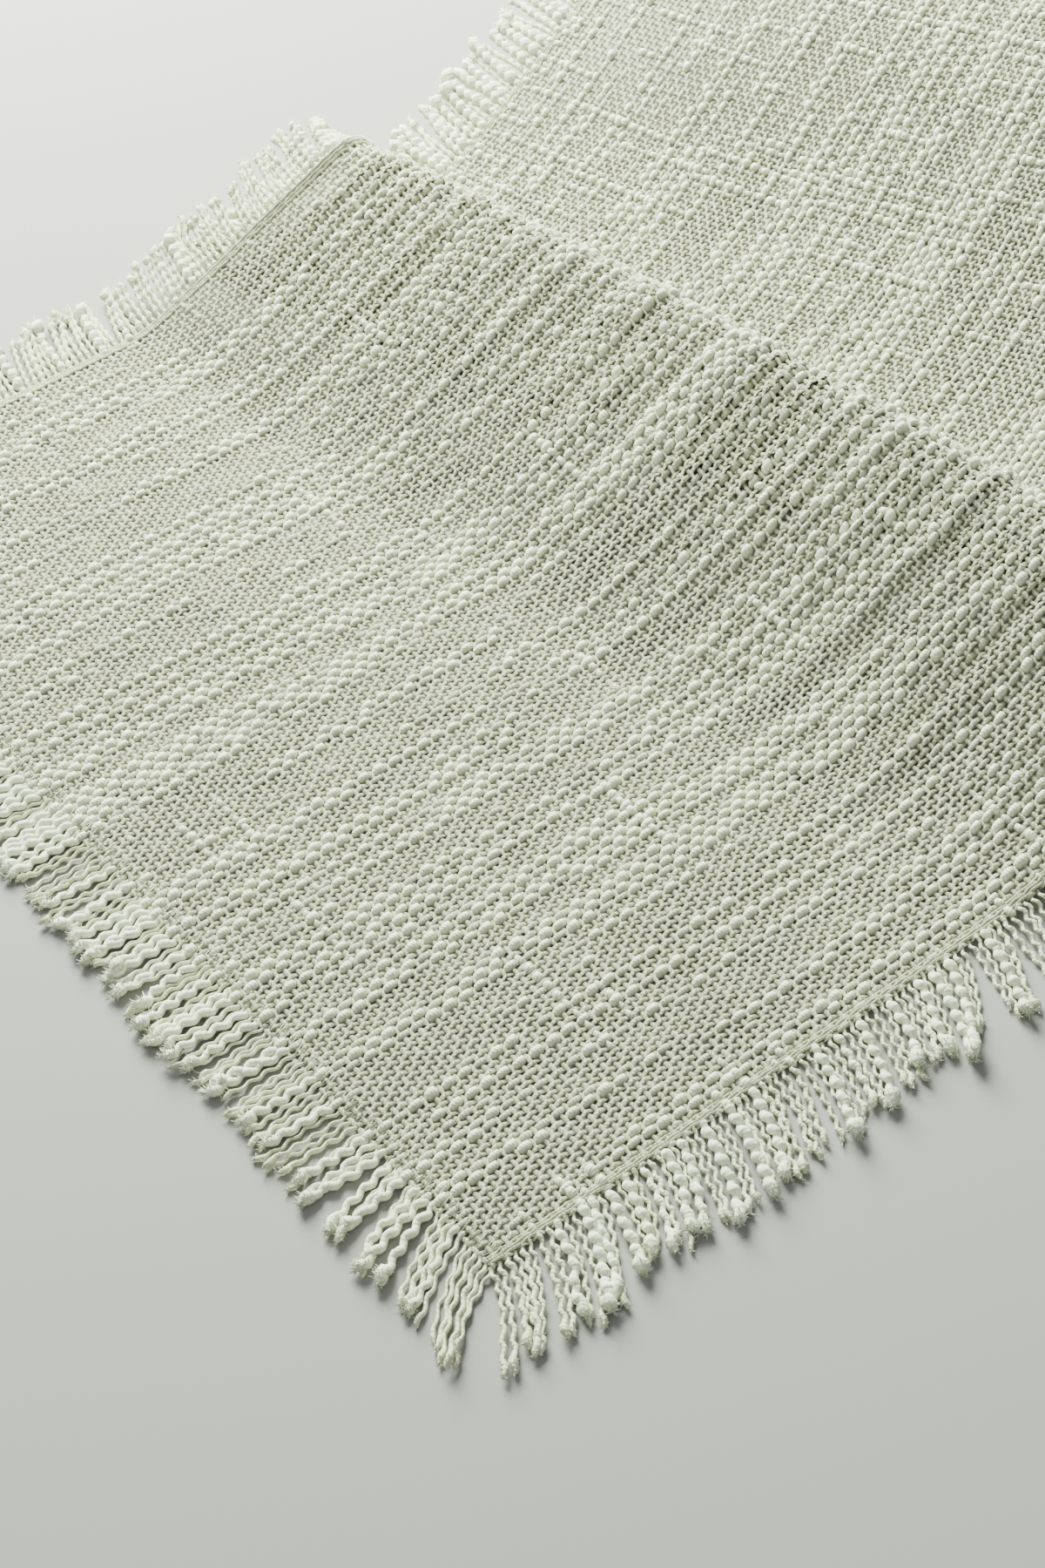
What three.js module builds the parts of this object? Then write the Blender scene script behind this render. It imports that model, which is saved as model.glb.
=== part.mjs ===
// A table runner of open slub weave with a frayed fringe on all four edges. It lies on a level surface:
// flat at its near end, raised in a first wave that tucks under itself at the left edge, turned a little
// to the left, raised in a second broad wave, and flat again at its far end. Millimetres, +Z up.
// Before the last line centres it, X runs along the near part of the cloth and Y across it, to the left.
import * as THREE from 'three';

// The cut of the cloth
const CLOTH_LENGTH = 914;
const CLOTH_WIDTH = 350;
const CLOTH_THICKNESS = 2;

// The fringe: a narrow heading of ravelled yarn beside each edge, and locks of yarn that stand out of it
const EDGE_GAP = 1.1;
const HEADING_WIDTH = 2.6;
const LOCK_PITCH = 10;
const LOCK_WIDTH = 7;
const LOCK_TIP_WIDTH = 4.4;
const LOCK_TIP_THICKNESS = 1.6;
const LOCK_WANDER = 2.2;
const LOCK_DROOP = 0.12;

// The first wave, in rows across the cloth: where each row lies at the right and the left edge, and how
// far its middle strays from the straight line between the two
const FIRST_WAVE = [
  { row: 'near end', rightX: 0, rightZ: 0, leftX: 0, leftZ: 0, middleX: 0, middleZ: 0 },
  { row: 'lying flat', rightX: 70, rightZ: 0, leftX: 55, leftZ: 0, middleX: 0, middleZ: 0 },
  { row: 'lying flat', rightX: 130, rightZ: 0, leftX: 100, leftZ: 0, middleX: 0, middleZ: 0 },
  { row: 'foot', rightX: 165, rightZ: 0.5, leftX: 128, leftZ: 0.5, middleX: 0, middleZ: 0 },
  { row: 'low slope', rightX: 188, rightZ: 6, leftX: 150, leftZ: 8, middleX: 0, middleZ: 0 },
  { row: 'half way', rightX: 210, rightZ: 16, leftX: 172, leftZ: 17, middleX: 0, middleZ: 0 },
  { row: 'high slope', rightX: 232, rightZ: 27, leftX: 194, leftZ: 26, middleX: 0, middleZ: 1 },
  { row: 'crest', rightX: 254, rightZ: 35, leftX: 216, leftZ: 33, middleX: 2, middleZ: 4 },
  { row: 'back', rightX: 268, rightZ: 26, leftX: 224, leftZ: 22, middleX: 1, middleZ: 4 },
  { row: 'tuck', rightX: 275, rightZ: 14, leftX: 204, leftZ: 14, middleX: -4, middleZ: 2 },
  { row: 'under', rightX: 281, rightZ: 5, leftX: 180, leftZ: 11, middleX: -7, middleZ: 0 },
  { row: 'turn', rightX: 289, rightZ: 0.5, leftX: 172, leftZ: 3, middleX: -7, middleZ: 0 },
];

// Behind the first wave the cloth is turned to the left about this point of its right edge
const TURN_DEGREES = 15;
const TURN_X = 302;
const TURN_Y = -172;

// The second wave, in rows across the turned cloth: the distance past the turn, and the height of the
// right and the left edge
const SECOND_WAVE = [
  { row: 'valley', along: 0, rightZ: 0, leftZ: 0 },
  { row: 'foot', along: 28, rightZ: 2, leftZ: 2 },
  { row: 'low slope', along: 56, rightZ: 9, leftZ: 7 },
  { row: 'half way', along: 84, rightZ: 21, leftZ: 15 },
  { row: 'high slope', along: 112, rightZ: 37, leftZ: 26 },
  { row: 'shoulder', along: 142, rightZ: 55, leftZ: 37 },
  { row: 'crest', along: 174, rightZ: 66, leftZ: 44 },
  { row: 'far shoulder', along: 208, rightZ: 60, leftZ: 42 },
  { row: 'far slope', along: 242, rightZ: 38, leftZ: 28 },
  { row: 'low far slope', along: 276, rightZ: 13, leftZ: 11 },
  { row: 'far foot', along: 306, rightZ: 1, leftZ: 1 },
  { row: 'lying flat', along: 340, rightZ: 0, leftZ: 0 },
  { row: 'lying flat', along: 450, rightZ: 0, leftZ: 0 },
  { row: 'past the far end', along: 640, rightZ: 0, leftZ: 0 },
];

// Steps of the faceted sheet along the cloth, finest where it folds under, and its strips across
const SHEET_STEPS = [
  { from: 0, to: 120, steps: 4 },
  { from: 120, to: 216, steps: 8 },
  { from: 216, to: 344, steps: 32 },
  { from: 344, to: 640, steps: 24 },
  { from: 640, to: CLOTH_LENGTH, steps: 6 },
];
const SHEET_STRIPS = 12;
const CURVE_STEPS = 24;
const SLOPE_STEP = 0.5;

// How long each fringe is and how much its locks differ, and how far it leans along its edge, in degrees,
// at the start of the edge and past its corner stretch; a positive lean is towards the end of the cloth's
// length or width
const FRINGES = {
  near: { length: 23, spread: 3, corner: -36, rest: 0, cornerStretch: 60 },
  far: { length: 23, spread: 3, corner: 8, rest: 8, cornerStretch: 60 },
  right: { length: 27, spread: 4, corner: -29, rest: -22, cornerStretch: 60 },
  left: { length: 27, spread: 4, corner: 12, rest: 15, cornerStretch: 60 },
};

const wovenCotton = new THREE.MeshStandardMaterial({ color: '#dcdac6', roughness: 0.95, metalness: 0 });
const ravelledCotton = new THREE.MeshStandardMaterial({ color: '#e2dfca', roughness: 0.95, metalness: 0 });

/** The two ends of every row, as points on the cloth's right and left edges. */
function rowEnds() {
  const ends = FIRST_WAVE.map((row) => ({
    right: new THREE.Vector3(row.rightX, -CLOTH_WIDTH / 2, row.rightZ),
    left: new THREE.Vector3(row.leftX, CLOTH_WIDTH / 2, row.leftZ),
    middle: new THREE.Vector3(row.middleX, 0, row.middleZ),
  }));
  const turn = THREE.MathUtils.degToRad(TURN_DEGREES);
  const along = new THREE.Vector3(Math.cos(turn), Math.sin(turn), 0);
  const across = new THREE.Vector3(-Math.sin(turn), Math.cos(turn), 0);
  for (const row of SECOND_WAVE) {
    const right = new THREE.Vector3(TURN_X, TURN_Y, 0).addScaledVector(along, row.along);
    const left = right.clone().addScaledVector(across, CLOTH_WIDTH);
    right.z = row.rightZ;
    left.z = row.leftZ;
    ends.push({ right, left, middle: new THREE.Vector3() });
  }
  return ends;
}

const ROWS = rowEnds();
const yarnLines = new Map();

/** The line that the cloth follows at one distance from its right edge, with its length at each point. */
function yarnLine(across) {
  if (!yarnLines.has(across)) {
    const share = across / CLOTH_WIDTH;
    const bulge = 4 * share * (1 - share);
    const knots = ROWS.map((ends) =>
      ends.right.clone().lerp(ends.left, share).addScaledVector(ends.middle, bulge));
    const curve = new THREE.CatmullRomCurve3(knots, false, 'catmullrom', 0.5);
    const points = curve.getPoints(CURVE_STEPS * (knots.length - 1));
    const lengths = [0];
    points.forEach((point) => {
      point.z = Math.max(point.z, 0);
    });
    for (let i = 1; i < points.length; i += 1) {
      lengths.push(lengths[i - 1] + points[i].distanceTo(points[i - 1]));
    }
    yarnLines.set(across, { points, lengths });
  }
  return yarnLines.get(across);
}

/** The point under the cloth at a distance along it and across it. Outside the cloth its ends run on. */
function underside(along, across) {
  const { points, lengths } = yarnLine(across);
  let low = 0;
  let high = lengths.length - 1;
  while (high - low > 1) {
    const middle = Math.floor((low + high) / 2);
    if (lengths[middle] <= along) {
      low = middle;
    } else {
      high = middle;
    }
  }
  const share = (along - lengths[low]) / (lengths[high] - lengths[low]);
  return points[low].clone().lerp(points[high], share);
}

/** The direction out of the cloth's face at a place. */
function faceNormal(along, across) {
  const lengthwise = underside(along + SLOPE_STEP, across).sub(underside(along - SLOPE_STEP, across));
  const crosswise = underside(along, across + SLOPE_STEP).sub(underside(along, across - SLOPE_STEP));
  return lengthwise.cross(crosswise).normalize();
}

/** A point in the cloth's thickness: 0 is its underside and CLOTH_THICKNESS its face. */
function clothPoint(along, across, height) {
  const middle = CLOTH_THICKNESS / 2;
  const point = underside(along, across).addScaledVector(faceNormal(along, across), height - middle);
  point.z += middle;
  return point;
}

/** A closed mesh from a list of points and a list of faces with three or four corners. */
function closedMesh(name, points, faces, material) {
  const geometry = new THREE.BufferGeometry();
  const index = [];
  for (const [first, ...others] of faces) {
    for (let i = 0; i + 1 < others.length; i += 1) {
      index.push(first, others[i], others[i + 1]);
    }
  }
  geometry.setFromPoints(points);
  geometry.setIndex(index);
  geometry.computeVertexNormals();
  const mesh = new THREE.Mesh(geometry, material);
  mesh.name = name;
  return mesh;
}

/** Distances along the cloth at which the sheet has a step. */
function sheetStations() {
  const stations = [0];
  for (const { from, to, steps } of SHEET_STEPS) {
    for (let i = 1; i <= steps; i += 1) {
      stations.push(from + ((to - from) * i) / steps);
    }
  }
  return stations;
}

/** The woven cloth: one sheet of even thickness in its waves and its tuck. */
function wovenSheet() {
  const stations = sheetStations();
  const rowSize = SHEET_STRIPS + 1;
  const points = [];
  const faces = [];
  for (const height of [0, CLOTH_THICKNESS]) {
    for (const along of stations) {
      for (let j = 0; j < rowSize; j += 1) {
        points.push(clothPoint(along, (CLOTH_WIDTH * j) / SHEET_STRIPS, height));
      }
    }
  }
  const layer = stations.length * rowSize;
  const last = stations.length - 1;
  for (let i = 0; i < last; i += 1) {
    for (let j = 0; j < SHEET_STRIPS; j += 1) {
      const corner = i * rowSize + j;
      faces.push([corner + layer, corner + rowSize + layer, corner + rowSize + 1 + layer, corner + 1 + layer]);
      faces.push([corner, corner + 1, corner + rowSize + 1, corner + rowSize]);
    }
    const right = i * rowSize;
    const left = right + SHEET_STRIPS;
    faces.push([right, right + rowSize, right + rowSize + layer, right + layer]);
    faces.push([left + rowSize, left, left + layer, left + rowSize + layer]);
  }
  for (let j = 0; j < SHEET_STRIPS; j += 1) {
    const far = last * rowSize + j;
    faces.push([j + 1, j, j + layer, j + 1 + layer]);
    faces.push([far, far + 1, far + 1 + layer, far + layer]);
  }
  return closedMesh('cloth', points, faces, wovenCotton);
}

/** An even-looking scatter between -1 and 1 that is the same each time. */
function scatter(count, kind) {
  const wave = Math.sin(count * 12.9898 + kind * 78.233) * 43758.5453;
  return 2 * (wave - Math.floor(wave)) - 1;
}

// The four edges. Each is walked with the cloth on its right hand seen from above; place turns a distance
// walked and a distance out of the edge into a place on the cloth, and forward is the walk's direction
const EDGES = [
  {
    name: 'fringe_near_end',
    fringe: FRINGES.near,
    length: CLOTH_WIDTH,
    forward: 1,
    place: (walked, out) => [-out, walked],
  },
  {
    name: 'fringe_far_end',
    fringe: FRINGES.far,
    length: CLOTH_WIDTH,
    forward: -1,
    place: (walked, out) => [CLOTH_LENGTH + out, CLOTH_WIDTH - walked],
  },
  {
    name: 'fringe_right_side',
    fringe: FRINGES.right,
    length: CLOTH_LENGTH,
    forward: -1,
    place: (walked, out) => [CLOTH_LENGTH - walked, -out],
  },
  {
    name: 'fringe_left_side',
    fringe: FRINGES.left,
    length: CLOTH_LENGTH,
    forward: 1,
    place: (walked, out) => [walked, CLOTH_WIDTH + out],
  },
];

/** How far a lock leans along its edge for each millimetre out of it, in the walk's direction. */
function leanPerMillimetre(edge, walked) {
  const { corner, rest, cornerStretch } = edge.fringe;
  const fromCorner = edge.forward > 0 ? walked : edge.length - walked;
  const share = THREE.MathUtils.clamp(fromCorner / cornerStretch, 0, 1);
  const lean = THREE.MathUtils.lerp(corner, rest, THREE.MathUtils.smoothstep(share, 0, 1));
  return edge.forward * Math.tan(THREE.MathUtils.degToRad(lean));
}

/** A point of a fringe, drooping the more the higher and the further out it is. */
function fringePoint(edge, walked, out, height) {
  const [along, across] = edge.place(walked, EDGE_GAP + out);
  const point = clothPoint(along, across, height);
  const reach = out / edge.fringe.length;
  point.z -= LOCK_DROOP * underside(along, across).z * reach * reach;
  return point;
}

/** The rings of one lock past its root, each with its place along the edge, its width and thickness. */
function lockRings(edge, number, start, end) {
  const root = (start + end) / 2;
  const length = edge.fringe.length + edge.fringe.spread * scatter(number, 1);
  const lean = leanPerMillimetre(edge, root);
  const stray = LOCK_WANDER * scatter(number, 2);
  return [
    { out: 0.5 * length, shift: 0.4 * lean * length + 0.3 * stray, width: end - start, thickness: CLOTH_THICKNESS },
    { out: length, shift: lean * length + stray, width: LOCK_TIP_WIDTH, thickness: LOCK_TIP_THICKNESS },
  ].map((ring) => ({ ...ring, walked: root + ring.shift }));
}

/** One fringe: its heading and its locks as one body, like a comb. */
function fringe(edge) {
  const points = [];
  const faces = [];
  const addPoint = (walked, out, height) => points.push(fringePoint(edge, walked, out, height)) - 1;
  const count = Math.floor(edge.length / LOCK_PITCH);
  const margin = (edge.length - count * LOCK_PITCH) / 2;
  const bounds = [0];
  for (let i = 0; i < count; i += 1) {
    const centre = margin + (i + 0.5) * LOCK_PITCH;
    const halfWidth = (LOCK_WIDTH / 2) * (1 + 0.14 * scatter(i, 3));
    bounds.push(centre - halfWidth, centre + halfWidth);
  }
  bounds.push(edge.length);

  // The heading's section at each bound: inner bottom, inner top, outer top, outer bottom
  const sections = bounds.map((walked) => [
    addPoint(walked, 0, 0),
    addPoint(walked, 0, CLOTH_THICKNESS),
    addPoint(walked, HEADING_WIDTH, CLOTH_THICKNESS),
    addPoint(walked, HEADING_WIDTH, 0),
  ]);
  faces.push(sections[0]);
  faces.push([...sections[sections.length - 1]].reverse());
  for (let i = 0; i + 1 < sections.length; i += 1) {
    const [innerLow, innerHigh, outerHigh, outerLow] = sections[i];
    const [nextInnerLow, nextInnerHigh, nextOuterHigh, nextOuterLow] = sections[i + 1];
    faces.push([innerHigh, nextInnerHigh, nextOuterHigh, outerHigh]);
    faces.push([innerLow, outerLow, nextOuterLow, nextInnerLow]);
    faces.push([innerLow, nextInnerLow, nextInnerHigh, innerHigh]);
    let ring = [outerLow, outerHigh, nextOuterHigh, nextOuterLow];
    if (i % 2 === 1) {
      for (const { walked, out, width, thickness } of lockRings(edge, i, bounds[i], bounds[i + 1])) {
        const nextRing = [
          addPoint(walked - width / 2, out, 0),
          addPoint(walked - width / 2, out, thickness),
          addPoint(walked + width / 2, out, thickness),
          addPoint(walked + width / 2, out, 0),
        ];
        for (let side = 0; side < 4; side += 1) {
          const after = (side + 1) % 4;
          faces.push([ring[side], ring[after], nextRing[after], nextRing[side]]);
        }
        ring = nextRing;
      }
    }
    faces.push(ring);
  }
  return closedMesh(edge.name, points, faces, ravelledCotton);
}

const runner = new THREE.Group();
runner.name = 'table_runner';
runner.add(wovenSheet());
for (const edge of EDGES) {
  runner.add(fringe(edge));
}

// The origin is under the middle of the runner, on the surface it lies on
const extent = new THREE.Box3().setFromObject(runner);
const centre = extent.getCenter(new THREE.Vector3());
runner.position.set(-centre.x, -centre.y, 0);

export default runner;
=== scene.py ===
"""A table runner of open slub weave with frayed fringes, lying in two soft waves.

The cloth is woven yarn by yarn: every lengthwise and crosswise yarn is a strip that passes over and under
the others, thick stretches of slub stand out as puffs, and each yarn runs on past the edge as a crimped
strand of the fringe. Lengths inside the classes are in millimetres; meshes are written in metres.
"""

import logging
import math
from dataclasses import dataclass, field, replace
from enum import Enum

import bpy
import numpy as np
from mathutils import Matrix, Vector


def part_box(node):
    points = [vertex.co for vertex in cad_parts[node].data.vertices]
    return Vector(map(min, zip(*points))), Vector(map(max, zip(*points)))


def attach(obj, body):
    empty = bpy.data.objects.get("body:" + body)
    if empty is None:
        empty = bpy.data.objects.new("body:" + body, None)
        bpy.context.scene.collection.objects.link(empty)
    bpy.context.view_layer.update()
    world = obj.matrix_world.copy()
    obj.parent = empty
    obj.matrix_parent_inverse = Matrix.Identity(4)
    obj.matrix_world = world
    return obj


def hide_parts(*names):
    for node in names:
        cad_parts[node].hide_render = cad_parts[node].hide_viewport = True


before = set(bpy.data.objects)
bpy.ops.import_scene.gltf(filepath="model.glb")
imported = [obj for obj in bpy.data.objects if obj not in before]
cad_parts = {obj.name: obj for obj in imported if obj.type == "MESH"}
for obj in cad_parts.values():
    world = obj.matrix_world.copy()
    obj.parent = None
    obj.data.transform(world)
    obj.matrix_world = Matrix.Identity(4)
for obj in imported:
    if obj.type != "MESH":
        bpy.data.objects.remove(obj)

LOG = logging.getLogger("table_runner")
METRES = 0.001


class Slot(Enum):
    """The record's two material slots."""

    WOVEN = "woven_cotton"
    RAVELLED = "ravelled_cotton"


class Run(Enum):
    """The way a yarn runs through the cloth."""

    LENGTHWISE = "lengthwise"
    CROSSWISE = "crosswise"


class Edge(Enum):
    """The four frayed edges, named as the frame names their solids."""

    NEAR = "fringe_near_end"
    FAR = "fringe_far_end"
    RIGHT = "fringe_right_side"
    LEFT = "fringe_left_side"


@dataclass(frozen=True)
class WaveRow:
    """A row across the first wave: where its ends and its middle lie."""

    name: str
    right_x: float
    right_z: float
    left_x: float
    left_z: float
    middle_x: float = 0.0
    middle_z: float = 0.0


@dataclass(frozen=True)
class TurnedRow:
    """A row across the second wave: how far past the turn it lies, and how high its ends are."""

    name: str
    along: float
    right_z: float
    left_z: float


FIRST_WAVE = (
    WaveRow("near end", 0, 0, 0, 0),
    WaveRow("lying flat", 70, 0, 55, 0),
    WaveRow("lying flat", 130, 0, 100, 0),
    WaveRow("foot", 165, 0.5, 128, 0.5),
    WaveRow("low slope", 188, 6, 150, 8),
    WaveRow("half way", 210, 16, 172, 17),
    WaveRow("high slope", 232, 27, 194, 26, 0, 1),
    WaveRow("crest", 254, 35, 216, 33, 2, 4),
    WaveRow("back", 268, 26, 224, 22, 1, 4),
    WaveRow("tuck", 275, 14, 204, 14, -4, 2),
    WaveRow("under", 281, 5, 180, 11, -7, 0),
    WaveRow("turn", 289, 0.5, 172, 3, -7, 0),
)
SECOND_WAVE = (
    TurnedRow("valley", 0, 0, 0),
    TurnedRow("foot", 28, 2, 2),
    TurnedRow("low slope", 56, 9, 7),
    TurnedRow("half way", 84, 21, 15),
    TurnedRow("high slope", 112, 37, 26),
    TurnedRow("shoulder", 142, 55, 37),
    TurnedRow("crest", 174, 66, 44),
    TurnedRow("far shoulder", 208, 60, 42),
    TurnedRow("far slope", 242, 38, 28),
    TurnedRow("low far slope", 276, 13, 11),
    TurnedRow("far foot", 306, 1, 1),
    TurnedRow("lying flat", 340, 0, 0),
    TurnedRow("lying flat", 450, 0, 0),
    TurnedRow("past the far end", 640, 0, 0),
)


class SoftNoise:
    """A smooth scatter over two directions that is the same in every run."""

    def __init__(self, seed: int, size_a: float, size_b: float, waves: int = 14) -> None:
        """Draws the waves.

        Args:
            seed: The number that the waves are drawn from.
            size_a: The usual size of a patch in the first direction.
            size_b: The usual size of a patch in the second direction.
            waves: How many waves are summed.
        """
        draw = np.random.default_rng(seed)
        self.rate_a = draw.normal(0, 0.5 / size_a, waves)
        self.rate_b = draw.normal(0, 0.5 / size_b, waves)
        self.phase = draw.uniform(0, math.tau, waves)

    def at(self, a: np.ndarray, b: np.ndarray) -> np.ndarray:
        """Gives the scatter at places, mostly between -1.5 and 1.5.

        Args:
            a: The places in the first direction.
            b: The places in the second direction.

        Returns:
            The scatter, in the shape that the two have together.
        """
        total = np.zeros(np.broadcast(a, b).shape)
        for rate_a, rate_b, phase in zip(self.rate_a, self.rate_b, self.phase):
            total += np.sin(math.tau * (rate_a * a + rate_b * b) + phase)
        return total / math.sqrt(len(self.phase) / 2)


def smooth_step(value: np.ndarray, low: float, high: float) -> np.ndarray:
    """Rises softly from 0 to 1.

    Args:
        value: The places.
        low: The place where it is 0.
        high: The place where it is 1.

    Returns:
        The rise at each place.
    """
    share = np.clip((value - low) / (high - low), 0, 1)
    return share * share * (3 - 2 * share)


def soften(values: np.ndarray, count: int, axis: int) -> np.ndarray:
    """Averages each value with its neighbours along one axis.

    Args:
        values: A table of values.
        count: How many neighbours take part, an odd number.
        axis: The axis.

    Returns:
        The softened table.
    """
    weights = np.hanning(count + 2)[1:-1]
    padding = [(0, 0), (0, 0)]
    padding[axis] = (count // 2, count // 2)
    padded = np.pad(values, padding, mode="edge")
    return np.apply_along_axis(np.convolve, axis, padded, weights / weights.sum(), "valid")


def scatter(count: np.ndarray, kind: int) -> np.ndarray:
    """Gives the scatter that the solids' locks were cut with.

    Args:
        count: The number of each lock.
        kind: What the scatter is for.

    Returns:
        A value between -1 and 1 for each lock.
    """
    wave = np.sin(count * 12.9898 + kind * 78.233) * 43758.5453
    return 2 * (wave - np.floor(wave)) - 1


def tube_faces(rows: int, sides: int) -> tuple[np.ndarray, np.ndarray, np.ndarray]:
    """Joins rings of points into an open tube.

    Args:
        rows: How many rings there are.
        sides: How many points each has.

    Returns:
        The numbers of the points by ring, the same turned on by one, and the four-cornered faces.
    """
    index = np.arange(rows * sides).reshape(rows, sides)
    after = np.roll(index, -1, axis=1)
    quads = np.stack([index[:-1], after[:-1], after[1:], index[1:]], axis=-1).reshape(-1, 4)
    return index, after, quads


@dataclass
class ClothSurface:
    """The surface on which the cloth lies, from the same rows as its solid."""

    length: float = 914.0
    width: float = 350.0
    thickness: float = 2.0
    turn_degrees: float = 15.0
    turn_x: float = 302.0
    turn_y: float = -172.0
    curve_steps: int = 24
    margin: float = 46.0
    step: float = 1.0
    pucker: float = 0.35
    rib: float = 1.9
    rib_middle: float = 225.0
    rib_reach: float = 58.0
    places: np.ndarray = field(init=False, repr=False)
    normals: np.ndarray = field(init=False, repr=False)

    def __post_init__(self) -> None:
        """Works out the surface once, on a fine even grid that reaches past the edges."""
        along = np.arange(-self.margin, self.length + self.margin + self.step, self.step)
        across = np.arange(-self.margin, self.width + self.margin + self.step, self.step)
        lines = self._yarn_lines(across)
        lengths = np.zeros(lines.shape[:2])
        lengths[:, 1:] = np.cumsum(np.linalg.norm(np.diff(lines, axis=1), axis=2), axis=1)
        places = np.empty((len(along), len(across), 3))
        for j in range(len(across)):
            for axis in range(3):
                places[:, j, axis] = np.interp(along, lengths[j], lines[j, :, axis])
            before = along < 0
            slope = (lines[j, 1] - lines[j, 0]) / lengths[j, 1]
            places[before, j] = lines[j, 0] + along[before, None] * slope
        lengthwise = np.gradient(places, axis=0)
        normals = np.cross(lengthwise, np.gradient(places, axis=1))
        self.normals = normals / np.linalg.norm(normals, axis=2, keepdims=True)
        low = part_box("cloth")[0]
        places[..., 0] += low.x / METRES
        places[..., 1] += low.y / METRES + self.width / 2
        places[..., 2] += self.thickness / 2
        puckers = SoftNoise(3, 55, 30).at(along[:, None], across[None, :])
        places[..., 2] += self.pucker * smooth_step(puckers, -0.6, 1.6)
        ribs = smooth_step(SoftNoise(7, 130, 5).at(along[:, None], across[None, :]), -1.2, 1.4)
        nearness = np.exp(-(((along - self.rib_middle) / self.rib_reach) ** 2))
        places[..., 2] += self.rib * ribs * nearness[:, None]
        self.places = places

    def _row_ends(self) -> tuple[np.ndarray, np.ndarray, np.ndarray]:
        """Lists the right end, the left end and the stray of the middle of every row."""
        half = self.width / 2
        right = [(row.right_x, -half, row.right_z) for row in FIRST_WAVE]
        left = [(row.left_x, half, row.left_z) for row in FIRST_WAVE]
        middle = [(row.middle_x, 0, row.middle_z) for row in FIRST_WAVE]
        turn = math.radians(self.turn_degrees)
        for row in SECOND_WAVE:
            x = self.turn_x + row.along * math.cos(turn)
            y = self.turn_y + row.along * math.sin(turn)
            right.append((x, y, row.right_z))
            left.append((x - self.width * math.sin(turn), y + self.width * math.cos(turn), row.left_z))
            middle.append((0, 0, 0))
        return np.array(right, float), np.array(left, float), np.array(middle, float)

    def _yarn_lines(self, across: np.ndarray) -> np.ndarray:
        """Draws the curve that the cloth follows at each distance from its right edge.

        Args:
            across: The distances from the right edge.

        Returns:
            The points of the curves, by distance and by point.
        """
        right, left, middle = self._row_ends()
        share = (across / self.width)[:, None, None]
        knots = right + (left - right) * share + middle * 4 * share * (1 - share)
        first = 2 * knots[:, :1] - knots[:, 1:2]
        last = 2 * knots[:, -1:] - knots[:, -2:-1]
        knots = np.concatenate([first, knots, last], axis=1)
        step = (np.arange(self.curve_steps) / self.curve_steps)[None, None, :, None]
        a, b, c, d = (knots[:, i:len(knots[0]) - 3 + i, None] for i in range(4))
        curve = 0.5 * (
            2 * b + (c - a) * step + (2 * a - 5 * b + 4 * c - d) * step**2 + (3 * b - a - 3 * c + d) * step**3
        )
        points = np.concatenate([curve.reshape(len(across), -1, 3), knots[:, -2:-1]], axis=1)
        points[..., 2] = np.maximum(points[..., 2], 0)
        return points

    def _blend(self, grid: np.ndarray, along: np.ndarray, across: np.ndarray) -> np.ndarray:
        """Reads a grid of vectors between its points.

        Args:
            grid: The places or the normals.
            along: Distances along the cloth from its near end.
            across: Distances across it from its right edge.

        Returns:
            A vector for each of them.
        """
        a = np.clip((along + self.margin) / self.step, 0, grid.shape[0] - 1.001)
        b = np.clip((across + self.margin) / self.step, 0, grid.shape[1] - 1.001)
        i, j = a.astype(int), b.astype(int)
        s, t = (a - i)[..., None], (b - j)[..., None]
        near = grid[i, j] * (1 - s) + grid[i + 1, j] * s
        far = grid[i, j + 1] * (1 - s) + grid[i + 1, j + 1] * s
        return near * (1 - t) + far * t

    def place(self, along: np.ndarray, across: np.ndarray, height: np.ndarray) -> np.ndarray:
        """Finds points near the cloth.

        Args:
            along: Distances along the cloth from its near end.
            across: Distances across it from its right edge.
            height: Distances out of its middle layer.

        Returns:
            The points in the frame, in millimetres.
        """
        along, across, height = np.broadcast_arrays(along, across, height)
        return self._blend(self.places, along, across) + (
            self._blend(self.normals, along, across) * height[..., None]
        )

    def lift(self, along: np.ndarray, across: np.ndarray) -> np.ndarray:
        """Says how far the underside is above the surface that the cloth lies on."""
        return self._blend(self.places, along, across)[..., 2] - self.thickness / 2


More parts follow.
